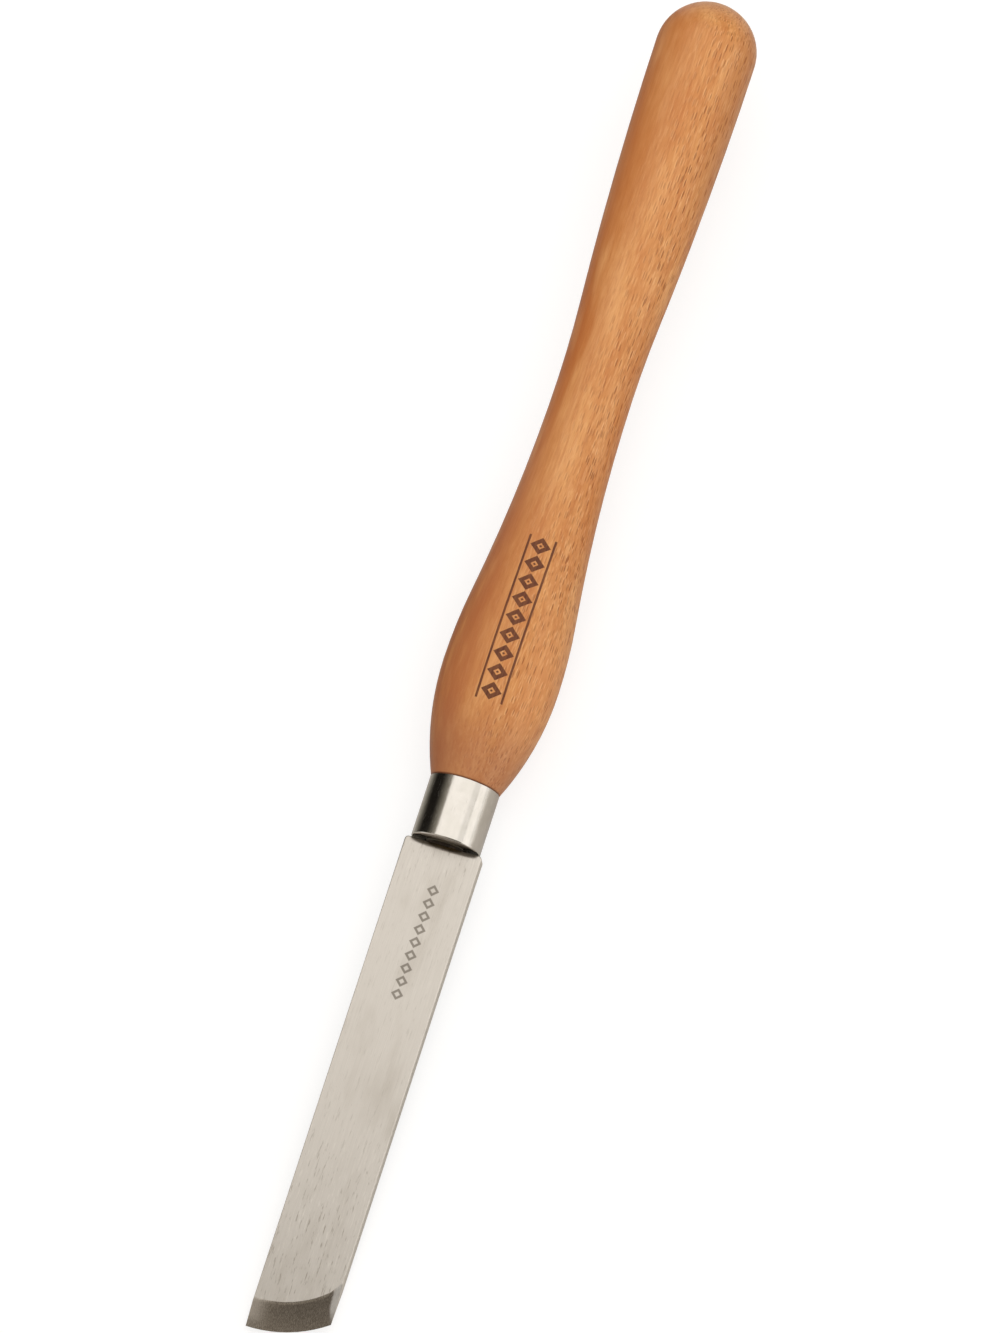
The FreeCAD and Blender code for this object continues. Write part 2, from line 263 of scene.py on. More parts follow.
# %% [markdown]
# ## Light
# The tool lay under one broad soft light that reaches back over the handle, with another to the
# right, and there was little light from the side of the tip. Each of the two has a skirt, as the
# cloth of a lamp is dimmer towards its edge. Steel shows all of this, because it mirrors the
# lights themselves: the flat of the blade mirrors the overhead light and looks pale, the bevel
# mirrors the dark end of the room. A panorama picture could light the scene too, but area lights
# can be moved one by one until each mirrored edge lies where the photograph has it. Two fills
# that are not mirrored lift the shadows. An area light of a given power looks dimmer the larger
# it is, so the power is worked out from the brightness that is wanted.

# %% Soft lights
# name, centre, aim, width, depth, brightness when mirrored, mirrored by metal
SOFT_LIGHTS = (
    ("overhead", (-0.70, -0.195, 0.90), (-0.70, -0.195, 0), 1.6, 1.71, 1.22, True),
    ("overhead_skirt", (-0.70, 0.935, 0.90), (-0.70, 0.935, 0), 1.6, 0.55, 0.98, True),
    ("right_side", (-0.10, 1.243, 0.515), (-0.10, 0, 0), 1.8, 0.63, 1.25, True),
    ("right_skirt", (-0.10, 1.353, 0.142), (-0.10, 0, 0), 1.8, 0.16, 0.82, True),
    ("front_fill", (0.9, 0.3, 1.4), (0, 0, 0), 1.2, 1.2, 1.7, False),
    ("left_fill", (0.0, -1.3, 0.6), (0, 0, 0), 1.5, 0.7, 0.42, False),
)
for name, centre, aim, width, depth, brightness, mirrored in SOFT_LIGHTS:
    lamp = bpy.data.lights.new(name, "AREA")
    lamp.shape = "RECTANGLE"
    lamp.size, lamp.size_y = width, depth
    lamp.energy = brightness * width * depth * math.pi
    rig = bpy.data.objects.new(name, lamp)
    bpy.context.scene.collection.objects.link(rig)
    rig.location = centre
    rig.rotation_euler = (Vector(aim) - Vector(centre)).to_track_quat("-Z", "Y").to_euler()
    rig.visible_camera = False
    rig.visible_glossy = mirrored
    print(name, "of", width, "by", depth, "m")

# %% [markdown]
# The room around the table is dim and warm, with a paler patch of ceiling in front of the tip and
# more to its left, which gives the bevel its soft shading. A world shader knows only directions,
# so all of it is said with them: X towards the tip, Y to the right and Z up.

# %% Room: dim walls and a paler patch
ROOM_DIM = 0.17
PATCH_NEAR_EDGE, PATCH_FAR_EDGE = (0.00, 0.24, 0.30), (0.54, 0.26)

world = bpy.data.worlds.new("room")
bpy.context.scene.world = world
world.use_nodes = True
tree = world.node_tree
tree.nodes.clear()
direction = add(tree, "ShaderNodeTexCoord").outputs["Generated"]
towards = add(tree, "ShaderNodeSeparateXYZ", {0: direction}).outputs
paler_left = add(tree, "ShaderNodeMapRange", {
    "Value": towards["Y"], "From Min": 0.34, "From Max": -0.24, "To Min": 0.15, "To Max": 1.65,
}).outputs["Result"]
patch = where(
    tree, (towards["X"], *PATCH_NEAR_EDGE), (towards["X"], *PATCH_FAR_EDGE), paler_left,
)
left_end = add(tree, "ShaderNodeMapRange", {
    "Value": towards["Y"], "From Min": 0.08, "From Max": -0.26, "To Min": 0.0, "To Max": 0.24,
}).outputs["Result"]
ahead = add(tree, "ShaderNodeMapRange", {
    "Value": towards["X"], "From Min": 0.15, "From Max": 0.35,
}).outputs["Result"]
pale_patch = either(tree, patch, where(tree, left_end, ahead))
room_light = add(tree, "ShaderNodeBackground", {
    "Color": linear("#FFF5EB"), "Strength": built_up(tree, ROOM_DIM, (pale_patch,)),
})
print("dim walls have a strength of", ROOM_DIM)

# %% [markdown]
# Metal also sees a low white band, where the card sweeps up behind the tool, as a bright line
# along its rims; on the right it is narrower, because the lamp begins there. The camera sees
# white wherever it looks past the card.

# %% Room: white band for mirrors
BAND_ON_LEFT, BAND_ON_RIGHT = (0.30, 0.16, 0.75), (0.10, 0.05, 0.60)

ray = add(tree, "ShaderNodeLightPath").outputs
on_the_right = add(tree, "ShaderNodeMapRange", {
    "Value": towards["Y"], "From Min": 0.20, "From Max": 0.50,
}).outputs["Result"]
low_band = add(tree, "ShaderNodeMix", {
    0: on_the_right,
    2: where(tree, (towards["Z"], *BAND_ON_LEFT)),
    3: where(tree, (towards["Z"], *BAND_ON_RIGHT)),
}).outputs[0]
mirrored = either(tree, ray["Is Glossy Ray"], ray["Is Transmission Ray"])
choice = add(tree, "ShaderNodeMixShader", {
    0: either(tree, ray["Is Camera Ray"], where(tree, mirrored, low_band)),
    1: room_light.outputs["Background"],
    2: add(tree, "ShaderNodeBackground", {
        "Color": linear("#FFFFFF"), "Strength": 1.0,
    }).outputs["Background"],
})
add(tree, "ShaderNodeOutputWorld", {"Surface": choice.outputs["Shader"]})
print("world is", world.name)

# %% [markdown]
# Photographers stand a strip of dark card beside polished metal, because a dark edge shows that a
# rim is round. The ferrule mirrors such a strip on its left, black below and grey above. It leans
# away from the tool on the table's slope, and only mirrors see it. Its sizes are in millimetres:
# how far to the left its foot and its top are, how high each is above the table, and where the
# strip begins and ends along the tool.

# %% Dark strip beside the ferrule
STRIP_FOOT_Y, STRIP_TOP_Y = -27.0, -60.0
STRIP_FOOT_Z, STRIP_TOP_Z = 0.3, 103.0
STRIP_BACK, STRIP_FRONT = -245.0, 66.0


def along_table(x_mm):
    """The table's own X, in metres, under this place on the tool."""
    return (to_table @ Vector((x_mm * MM, 0, 0))).x


strip_mesh = bpy.data.meshes.new("dark_strip")
strip_mesh.from_pydata([
    (along_table(x), y * MM, z * MM) for x, y, z in (
        (STRIP_BACK, STRIP_FOOT_Y, STRIP_FOOT_Z),
        (STRIP_FRONT, STRIP_FOOT_Y, STRIP_FOOT_Z),
        (STRIP_FRONT, STRIP_TOP_Y, STRIP_TOP_Z),
        (STRIP_BACK, STRIP_TOP_Y, STRIP_TOP_Z),
    )
], [], [(0, 1, 2, 3)])
strip = bpy.data.objects.new("dark_strip", strip_mesh)
bpy.context.scene.collection.objects.link(strip)
strip.location = table.location
strip.rotation_euler = table.rotation_euler
strip.visible_camera = False
strip.visible_diffuse = False
strip.visible_transmission = False
strip.visible_shadow = False
print("dark strip from", STRIP_BACK, "to", STRIP_FRONT, "mm")

# %% [markdown]
# The strip has its tones from foot to top in a colour ramp, and it glows with them, so that no
# lamp changes them. Beside the handle it is paler, so that it darkens the lacquer's edge only a
# little.

# %% Card for the dark strip
STRIP_TONES = (
    (0.035, "#A9A7A0"), (0.13, "#63605A"), (0.19, "#1E1C19"), (0.37, "#181613"),
    (0.46, "#4A4740"), (0.66, "#86827A"), (1.00, "#ACA89F"),
)
PALER_FROM, PALER_TO, PALER_MOST = -10.0, -70.0, 0.5

strip_card, tree = new_material("graded_dark_card")
place = add(tree, "ShaderNodeTexCoord").outputs["Object"]
strip_at = add(tree, "ShaderNodeSeparateXYZ", {0: place}).outputs
share_up = add(tree, "ShaderNodeMapRange", {
    "Value": strip_at["Z"], "From Min": 0.0, "From Max": STRIP_TOP_Z * MM,
}).outputs["Result"]
tones = add(tree, "ShaderNodeValToRGB", {0: share_up})
ends = tones.color_ramp.elements
ends[0].position, ends[1].position = STRIP_TONES[0][0], STRIP_TONES[-1][0]
ends[0].color, ends[1].color = linear(STRIP_TONES[0][1]), linear(STRIP_TONES[-1][1])
for position, colour in STRIP_TONES[1:-1]:
    tones.color_ramp.elements.new(position).color = linear(colour)
paler = add(tree, "ShaderNodeMapRange", {
    "Value": strip_at["X"], "From Min": along_table(PALER_FROM), "From Max": along_table(PALER_TO),
    "To Min": 0.0, "To Max": PALER_MOST,
}).outputs["Result"]
strip_colour = add(tree, "ShaderNodeMix", {
    0: paler, 6: tones.outputs["Color"], 7: linear("#D2CFC8"),
}, data_type="RGBA").outputs[2]
glow = add(tree, "ShaderNodeEmission", {"Color": strip_colour, "Strength": 1.0})
add(tree, "ShaderNodeOutputMaterial", {"Surface": glow.outputs["Emission"]})
strip_mesh.materials.append(strip_card)
print("strip is", strip_card.name, "in", len(STRIP_TONES), "tones")

# %% [markdown]
# ## Patterns and layers of colour
# Wood and ground steel are both drawn out along one direction: fibres, streaks, grinding lines.
# The simplest such pattern is noise that is stretched along X, so one helper makes it from a
# length and a width in millimetres, and another gives it the place on the piece to start from. A
# finish is then painted up like a real one, a base colour with others laid over it in turn.

# %% Pattern helpers
def place_in_mm(tree):
    """The place on the piece in millimetres, and its three coordinates."""
    place = add(tree, "ShaderNodeTexCoord").outputs["Object"]
    place_mm = add(tree, "ShaderNodeVectorMath", {
        0: place, "Scale": 1 / MM,
    }, operation="SCALE").outputs[0]
    return place_mm, add(tree, "ShaderNodeSeparateXYZ", {0: place_mm}).outputs


def drawn_out(tree, place_mm, length, width, detail=2.0, roughness=0.55):
    """Noise that changes over this length along X and over this width across it."""
    stretched = add(tree, "ShaderNodeMapping", {
        "Vector": place_mm, "Scale": (1 / length, 1 / width, 1 / width),
    })
    return add(tree, "ShaderNodeTexNoise", {
        "Vector": stretched.outputs[0], "Scale": 1.0, "Detail": detail, "Roughness": roughness,
    }).outputs["Fac"]


def layered(tree, base, *layers):
    """A base colour with others laid over it in turn, each as far as its bounds hold."""
    for colour, *bounds in layers:
        under, over = (linear(c) if isinstance(c, str) else c for c in (base, colour))
        base = add(tree, "ShaderNodeMix", {
            0: where(tree, *bounds), 6: under, 7: over,
        }, data_type="RGBA").outputs[2]
    return base


print("a pattern's millimetre is", MM, "m")

# %% [markdown]
# The last helper closes a piece's material. A relief in millimetres goes through a bump node into
# the shader, and the material goes into every slot that the CAD piece has.

# %% Closing a material
def finish_piece(piece, material, relief_mm, strength, shader):
    """Give a CAD piece its material: a shader with these inputs over this relief."""
    tree = material.node_tree
    bump = add(tree, "ShaderNodeBump", {
        "Strength": strength, "Distance": MM, "Height": relief_mm,
    }).outputs[0]
    surface = add(tree, "ShaderNodeBsdfPrincipled", {**shader, "Normal": bump})
    add(tree, "ShaderNodeOutputMaterial", {"Surface": surface.outputs["BSDF"]})
    for slot in range(len(piece.data.materials)):
        piece.data.materials[slot] = material
    print(piece.name, "is finished as", material.name)


print("pieces to finish:", len(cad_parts))

# %% [markdown]
# ## Beech
# The handle is beech, turned on a lathe, sanded and given a clear satin lacquer. Beech is a pale
# orange brown with hardly any figure, but it is full of short dashes along the grain, the ends of
# its rays, and its fibres stand out a little under the lacquer. A picture of wood could be wrapped
# round the handle, but it would be smeared over the round end. These patterns fill the whole block
# instead, as the grain does, so a cut in any direction looks right. The colour is built from the
# largest to the smallest: a slow change of tone, soft bands of growth, streaks, clouds, flecks of
# fibre and then the dashes.

# %% Beech: tone, growth bands and streaks
GROWTH_BAND_MM = 6.0
WAVES_PER_UNIT = 0.314
HEART_PLACE, HEART_TURN_DEGREES = (0, 30, -45), 20
BAND_STRETCH = (0.12, 1, 1)

beech, tree = new_material("satin_lacquered_beech")
place_mm, at = place_in_mm(tree)
tone = drawn_out(tree, place_mm, length=80, width=24, detail=1.0)
streaks = drawn_out(tree, place_mm, length=38, width=1.6, detail=3.0)
clouds = drawn_out(tree, place_mm, length=26, width=5.5)
bands_at = add(tree, "ShaderNodeMapping", {
    "Vector": place_mm, "Location": HEART_PLACE,
    "Rotation": (math.radians(HEART_TURN_DEGREES), 0, 0), "Scale": BAND_STRETCH,
}).outputs[0]
bands = add(tree, "ShaderNodeTexWave", {
    "Vector": bands_at, "Scale": WAVES_PER_UNIT / GROWTH_BAND_MM, "Distortion": 6.0, "Detail": 2.0,
    "Detail Scale": 0.4, "Detail Roughness": 0.5,
}, wave_type="RINGS", rings_direction="X").outputs["Fac"]
wood_colour = layered(
    tree, "#D18D4D",
    ("#DA9A5A", (tone, 0.30, 0.70)),
    ("#B96B30", bands, 0.30),
    ("#BB6E36", (streaks, 0.40, 0.75, 0.45)),
    # Darker and paler clouds
    ("#BC6A2C", (clouds, 0.50, 0.68, 0.30)),
    ("#E6AA70", (clouds, 0.50, 0.34, 0.22)),
)
print("growth bands every", GROWTH_BAND_MM, "mm")

# %% [markdown]
# The flecks are what the eye takes for the texture of beech. They are about three millimetres
# long, half the length of the noise that makes them, and well under one wide. Some are lighter
# than the wood and some darker, and they lie at a very small slope to the handle, as the tree's
# own grain does. They are weaker on the left, and come back on the underside.

# %% Beech: flecks of fibre
FLECK_LENGTH_MM, FLECK_WIDTH_MM = 5.8, 0.72
FIBRE_LENGTH_MM, FIBRE_WIDTH_MM = 6.0, 0.35
GRAIN_SLOPE_DEGREES = 2.0

grain_place = add(tree, "ShaderNodeMapping", {
    "Vector": place_mm, "Rotation": (0, 0, math.radians(GRAIN_SLOPE_DEGREES)),
}).outputs[0]
flecks = drawn_out(tree, grain_place, FLECK_LENGTH_MM, FLECK_WIDTH_MM, roughness=0.6)
fibres = drawn_out(tree, grain_place, FIBRE_LENGTH_MM, FIBRE_WIDTH_MM, roughness=0.6)
underside = where(tree, (at["Z"], AXIS_HEIGHT + 2, AXIS_HEIGHT - 9))
weaker_left = add(tree, "ShaderNodeMapRange", {
    "Value": at["Y"], "From Min": -9.0, "From Max": 5.0, "To Min": 0.42, "To Max": 1.0,
}).outputs["Result"]
fleck_side = either(tree, weaker_left, underside)
wood_colour = layered(
    tree, wood_colour,
    # Dark flecks, pale flecks and fibres
    ("#A9581F", (flecks, 0.54, 0.64, 0.29), fleck_side),
    ("#EDB679", (flecks, 0.46, 0.36, 0.27), fleck_side),
    ("#B0642F", (fibres, 0.45, 0.80, 0.22)),
)
print("flecks from noise of", FLECK_LENGTH_MM, "by", FLECK_WIDTH_MM, "mm")

# %% [markdown]
# The rays are flat ribbons that run from the heart of the tree outwards. Where the surface cuts
# straight across them, here towards the right side and opposite it, low on the left, they show as
# thin dark dashes; in between they lie along the surface and nearly vanish. Each cell of a
# stretched Voronoi pattern holds one dash, with its own depth of colour. The same pattern moved
# aside by a third of a millimetre paints a pale rim beside each dash, a painted highlight where its
# raised lip catches the light.

# %% Beech: ends of the rays
RAY_CELL_LENGTH_MM, RAY_CELL_WIDTH_MM, RAY_LIP_HIGHLIGHT_MM = 4.2, 0.74, 0.34
DASH_EDGE, DASH_DEPTHS = (0.48, 0.26), (-0.10, 0.80)


def ray_dashes(tree, place_mm, aside):
    """Dashes of their own depth, one in each cell, moved aside by this many millimetres."""
    cells = add(tree, "ShaderNodeMapping", {
        "Vector": place_mm, "Location": (0, aside / RAY_CELL_WIDTH_MM, 0),
        "Scale": (1 / RAY_CELL_LENGTH_MM, 1 / RAY_CELL_WIDTH_MM, 1 / RAY_CELL_WIDTH_MM),
    }).outputs[0]
    cell = add(tree, "ShaderNodeTexVoronoi", {
        "Vector": cells, "Scale": 1.0, "Randomness": 0.95,
    }, feature="F1", distance="EUCLIDEAN").outputs
    depth = add(tree, "ShaderNodeSeparateXYZ", {0: cell["Color"]}).outputs["X"]
    return where(tree, (cell["Distance"], *DASH_EDGE), (depth, *DASH_DEPTHS))


ray_right = add(tree, "ShaderNodeMapRange", {
    "Value": at["Y"], "From Min": -7.0, "From Max": 13.0, "To Min": 0.08, "To Max": 1.0,
}, interpolation_type="SMOOTHSTEP").outputs["Result"]
ray_side = either(tree, ray_right, where(tree, underside, (at["Y"], 3, -6, 0.9)))
ray_patches = add(tree, "ShaderNodeMapRange", {
    "Value": streaks, "From Min": 0.38, "From Max": 0.58, "To Min": 0.50, "To Max": 1.0,
}).outputs["Result"]
ray_ends = where(tree, ray_dashes(tree, grain_place, 0), ray_side, ray_patches)
# Pale rims beside the dashes: painted highlight of their raised lips
ray_lip_highlights = where(tree, ray_dashes(tree, grain_place, RAY_LIP_HIGHLIGHT_MM), ray_side, ray_patches)
wood_colour = layered(
    tree, wood_colour, ("#F2BD83", ray_lip_highlights, 0.50), ("#88420A", ray_ends, 0.80),
)
print("ray ends in cells of", RAY_CELL_LENGTH_MM, "by", RAY_CELL_WIDTH_MM, "mm")

# %% [markdown]
# Shade and light are painted into the wood's colour at its sides. The left side of the handle is
# painted a deeper, blotchy orange, most of all at the waist, and redder from there to the ferrule:
# painted shade on the side away from the lights, over the wood's own blotchy tone. The right side
# is painted deeper too, as painted shade at its edge, but paler on the swell, painted light where
# the swell faces the right lamp. Towards the ferrule the wood is darker and browner, partly its own
# tone and partly painted shade where the swell turns away from the light. Right at the joint a fine
# brown line is left where the lacquer stops at the metal. The round end is a little darker too, as
# end grain drinks more lacquer. All of these could be painted by hand, but as layers of one list
# each can be changed by its numbers, and the comment above it says which part it is.

# %% Beech: painted shade at the sides, and darker ends
DARKER_NEAR_FERRULE_MM, JOINT_LINE_MM, END_GRAIN_MM = 30, 0.7, 9

left_shade_colour = layered(tree, "#B15C1C", ("#B1643E", (at["X"], -115, -55)))
weaker_below = built_up(tree, 1.0, (underside, -0.35))
wood_colour = layered(
    tree, wood_colour,
    # Left side: painted shade over the wood's blotchy tone
    (left_shade_colour, (at["Y"], -2, -12, 0.62), (clouds, 0.10, 0.55), weaker_below),
    # Left side of the waist: more painted shade
    ("#B15C1C", (at["Y"], 0, -7, 0.50), (at["X"], -45, -105), (at["X"], -140, -112),
     (clouds, 0.10, 0.50)),
    # Right side of the butt: painted shade at the edge
    ("#A9632A", (at["Y"], 8, 15, 0.46), (at["X"], -140, -178)),
    # Right side of the waist: painted shade at the edge
    ("#B8641F", (at["Y"], 8, 12, 0.32), (at["X"], -25, -50), (at["X"], -135, -100)),
    # Right side of the swell: paler, painted light
    ("#EEA569", (at["Y"], 7, 15, 0.27), (at["X"], -25, 8)),
    # Darker behind the ferrule: own tone and painted shade
    ("#A66A4A", (at["X"], JOINT_X - DARKER_NEAR_FERRULE_MM, JOINT_X - 3, 0.55)),
    # Line at the joint
    ("#5B2F17", (at["X"], JOINT_X - JOINT_LINE_MM, JOINT_X - 0.1, 0.8)),
    # End grain
    ("#A8683A", (at["X"], BUTT_X + END_GRAIN_MM, BUTT_X, 0.25)),
)
print("darkened over", DARKER_NEAR_FERRULE_MM, "mm, end grain over", END_GRAIN_MM, "mm")

# %% [markdown]
# ## Burnt band on the handle
# A plain ornament is burnt into the top of the handle: a row of lozenges with a dot in each,
# between two fine lines. It could be cut into the mesh or laid on as a picture, but sums of the
# place draw it sharply and leave the CAD mesh alone. Along the band, take the distance to the
# nearest whole number of steps; across it, the distance from the middle. Where the two add up to
# the same value lies the outline of a lozenge. The fibres make the outline uneven, as they do on
# real wood.

# %% Burnt band: where it lies
ROW_END = 0.02
EDGE_WANDER = 0.05
LINE_WANDER = 0.4
BURNT_ROW = {"centre": (-9.8, 1.0), "turn": -0.2, "step": 6.3, "reach": 7.3, "count": 9}


def lozenge_row(tree, place_mm, centre, turn, step, reach, count):
    """A row of lozenges: distance from a lozenge's middle, distance across, and its extent."""
    row = add(tree, "ShaderNodeMapping", {
        "Vector": place_mm, "Location": (*centre, 0), "Rotation": (0, 0, math.radians(turn)),
        "Scale": (step, reach, 1),
    }, vector_type="TEXTURE").outputs[0]
    steps = add(tree, "ShaderNodeSeparateXYZ", {0: row}).outputs
    along = add(tree, "ShaderNodeMath", {0: steps["X"], 1: 0.5}, operation="PINGPONG").outputs[0]
    across = add(tree, "ShaderNodeMath", {0: steps["Y"]}, operation="ABSOLUTE").outputs[0]
    from_centre = add(tree, "ShaderNodeMath", {0: steps["X"]}, operation="ABSOLUTE").outputs[0]
    extent = where(tree, (from_centre, count / 2 + ROW_END, count / 2 - ROW_END))
    return built_up(tree, along, (across,)), across, extent


from_middle, across, extent = lozenge_row(tree, place_mm, **BURNT_ROW)
ragged = built_up(tree, -EDGE_WANDER / 2, (fibres, EDGE_WANDER))
from_middle = built_up(tree, from_middle, (ragged,))
across = built_up(tree, across, (ragged, LINE_WANDER))
print("burnt band", round(BURNT_ROW["step"] * BURNT_ROW["count"], 1), "mm long")

# %% [markdown]
# Each figure is then the band between two of those values, with a soft edge. An iron leaves dark
# brown wood, and less of it where a fleck is hard.

# %% Burnt band: its figures
ring = where(tree, (from_middle, 0.485, 0.445), (from_middle, 0.16, 0.20))
dot = where(tree, (from_middle, 0.09, 0.05))
lines = where(tree, (across, 0.515, 0.54), (across, 0.64, 0.615))
on_top = where(tree, (at["Z"], AXIS_HEIGHT + 4, AXIS_HEIGHT + 5))
burnt = where(tree, either(tree, either(tree, ring, dot), lines), extent, on_top)
burn_depth = add(tree, "ShaderNodeMapRange", {
    "Value": flecks, "From Min": 0.3, "From Max": 0.7, "To Min": 1.0, "To Max": 0.82,
}).outputs["Result"]
wood_colour = layered(tree, wood_colour, ("#58260A", burnt, burn_depth))
print("lozenges in the burnt band:", BURNT_ROW["count"])

# %% [markdown]
# Last comes the lacquer. A thin satin lacquer follows the wood under it, so the fibres stand out
# and the ray ends and the burnt figures are sunk by a few hundredths of a millimetre. The figures
# of the relief are millimetres, which the bump halves. The gloss is broken: duller where it was
# handled, and dullest in the open ray ends and on the burnt wood, which drank the lacquer.

# %% Beech: relief and lacquer
wood_relief = built_up(
    tree, where(tree, flecks, 0.16), (fibres, -0.03), (ray_ends, -0.06), (burnt, -0.12),
)
lacquer = add(tree, "ShaderNodeMapRange", {
    "Value": streaks, "From Min": 0.3, "From Max": 0.7, "To Min": 0.38, "To Max": 0.50,
}).outputs["Result"]
finish_piece(handle, beech, wood_relief, strength=0.5, shader={
    "Base Color": wood_colour,
    "Roughness": built_up(tree, lacquer, (either(tree, ray_ends, burnt), 0.2)),
    "Specular IOR Level": 0.26,
    "IOR": 1.50,
    "Coat Weight": 0.25,
    "Coat Roughness": 0.30,
})

# %% [markdown]
# ## High-speed steel
# The blade is a bar of hardened high-speed steel. Its flats were ground along the bar with a fine
# wheel, so they are satin and carry fine lengthwise lines with some deeper flecks among them,
# most of them towards the tip and a few at the shoulder, where the bar went on and off the wheel.
# A shader that stretches its highlights could stand for such lines, but here each one can be
# seen, so they are drawn. The colour is a warm grey, a little darker than plain steel, as such
# alloys are.

# %% High-speed steel: ground flats
BY_SHOULDER, BY_TIP, FLECKS_ANYWHERE = (86, 70, 0.35), (140, 195, 0.72), 0.28

tool_steel, tree = new_material("ground_high_speed_steel")
place_mm, at = place_in_mm(tree)
grind_lines = drawn_out(tree, place_mm, length=30, width=0.25, detail=3.0, roughness=0.6)
grind_flecks = drawn_out(tree, place_mm, length=4.2, width=0.55, roughness=0.6)
handled = drawn_out(tree, place_mm, length=22, width=8)
fleck_ends = either(
    tree, where(tree, (at["X"], *BY_SHOULDER)), where(tree, (at["X"], *BY_TIP)),
)
fleck_reach = built_up(tree, fleck_ends, (FLECKS_ANYWHERE,))
steel_colour = layered(
    tree, "#BFB8AE",
    ("#C6BFB5", (grind_lines, 0.30, 0.70)),
    # Dark flecks, pale flecks and a film where hands were
    ("#887F72", (grind_flecks, 0.58, 0.72, 0.68), fleck_reach),
    ("#D6CFC4", (grind_flecks, 0.42, 0.28, 0.45), fleck_reach),
    ("#ABA294", (handled, 0.45, 0.75, 0.25)),
)
print("flats and", tool_steel.name, "begin at", round(SHOULDER_X, 1), "mm")

# %% [markdown]
# The flats, the narrow sides and the bevels could have materials of their own, but they are parts
# of one CAD mesh, which stays whole, so the material has to find them itself. The true normal of a
# face leans towards the tip only on a bevel, and sideways only on a narrow side, which was left
# coarser by the belt that also eased the long edges. The narrow sides and the eased edges are
# painted paler: partly the belt's finish, partly painted light for the brighter reflection they
# show. Along the bevel, the height above the middle plane tells how far it is from the heel to the
# edge.

# %% High-speed steel: finding the bevels and the eased edges
BEVEL_ZONE_MM = 40
CORNER_MM = HALF_WIDTH + HALF_THICKNESS

lean = add(tree, "ShaderNodeSeparateXYZ", {
    0: add(tree, "ShaderNodeNewGeometry").outputs["True Normal"],
}).outputs
on_bevel = where(
    tree, (lean["X"], 0.10, 0.14), (at["X"], TIP_X - BEVEL_ZONE_MM, TIP_X - BEVEL_ZONE_MM + 1),
)
above = built_up(tree, at["Z"], (-AXIS_HEIGHT,))
off_middle = add(tree, "ShaderNodeMath", {0: above}, operation="ABSOLUTE").outputs[0]
off_centre = add(tree, "ShaderNodeMath", {0: at["Y"]}, operation="ABSOLUTE").outputs[0]
sideways = add(tree, "ShaderNodeMath", {0: lean["Y"]}, operation="ABSOLUTE").outputs[0]
from_heel = add(tree, "ShaderNodeMapRange", {
    "Value": off_middle, "From Min": HALF_THICKNESS, "From Max": 0.0,
}).outputs["Result"]
towards_corner = built_up(tree, off_centre, (off_middle,))
on_side = where(tree, (sideways, 0.6, 0.9))
steel_colour = layered(
    tree, steel_colour,
    # Paler eased edges and narrow sides: belt finish and painted light
    ("#DCD5CA", (towards_corner, CORNER_MM - 0.42, CORNER_MM - 0.30), 0.4),
    ("#E3DDD3", on_side, 0.8),
)
print("bevels lie in the last", BEVEL_ZONE_MM, "mm before the tip")

# %% [markdown]
# A bevel is ground on the round face of a wheel, so it is hollow by about a tenth of a
# millimetre, and where it meets the flat the corner is rolled over a little. Both turn the
# surface by a few degrees, which is enough to make a mirror-like face shade from dark to light.
# The CAD bevel is flat. Its mesh could be bent to fit, but so little depth hardly shows in the
# outline, and a bump in the material turns the light just as well.

# %% High-speed steel: hollow of the bevel and rolled heel
HOLLOW_MM = 0.12
ROLL = 0.12
FLAT_TO_BEVEL = HALF_THICKNESS / BEVEL_LENGTH
BEVEL_FACE_MM = math.hypot(HALF_THICKNESS, BEVEL_LENGTH)

to_edge = built_up(tree, 1.0, (from_heel, -1.0))
hollow = where(tree, from_heel, to_edge, -4 * HOLLOW_MM)
rolled = add(tree, "ShaderNodeMath", {0: from_heel, 1: ROLL}, operation="MINIMUM").outputs[0]
rolled_off = built_up(tree, 1.0, (rolled, -1 / (2 * ROLL)))
bevel_form = built_up(tree, hollow, (rolled, rolled_off, FLAT_TO_BEVEL * BEVEL_FACE_MM))
print("bevel hollow", HOLLOW_MM, "mm, face", round(BEVEL_FACE_MM, 2), "mm")

# %% [markdown]
# The wheel's lines run along the tool from the heel to the edge, and they are finest at the long
# point, which is also painted paler back from the edge: a painted highlight. The short point was
# taken off on a stone, which left it pale and dull; that corner narrows towards the edge.

# %% High-speed steel: tone of the bevel
LONG_POINT_Y, SHORT_POINT_Y = -HALF_WIDTH, HALF_WIDTH

wheel_lines = drawn_out(tree, place_mm, length=9, width=0.22, roughness=0.6)
corner_place = built_up(tree, at["Y"], ((from_heel, 0.35, 1.0, 1.3), -1.0))
stoned_corner = where(
    tree, (corner_place, SHORT_POINT_Y - 2.3, SHORT_POINT_Y - 1.3), (from_heel, 1.1, 0.5),
)
bevel_colour = layered(
    tree, "#978E81",
    ("#BCB3A5", (wheel_lines, 0.38, 0.62)),
    # Paler long point: painted highlight
    ("#E6DED2", (at["Y"], LONG_POINT_Y + 6.5, LONG_POINT_Y + 0.2, 0.6), (from_heel, 0.95, 0.5)),
)
steel_colour = layered(
    tree, steel_colour, (bevel_colour, on_bevel), ("#E4E1DC", on_bevel, stoned_corner, 0.66),
)
print("long point at", round(LONG_POINT_Y, 1), "mm, short point at", round(SHORT_POINT_Y, 1), "mm")

# %% [markdown]
# Roughness decides how sharply steel mirrors the lights. The flats are satin, a little duller
# where they were handled, and the narrow sides are coarser. The bevels are like the flats, but
# duller at both points.

# %% High-speed steel: roughness
BEVEL_ROUGHNESS = 0.27

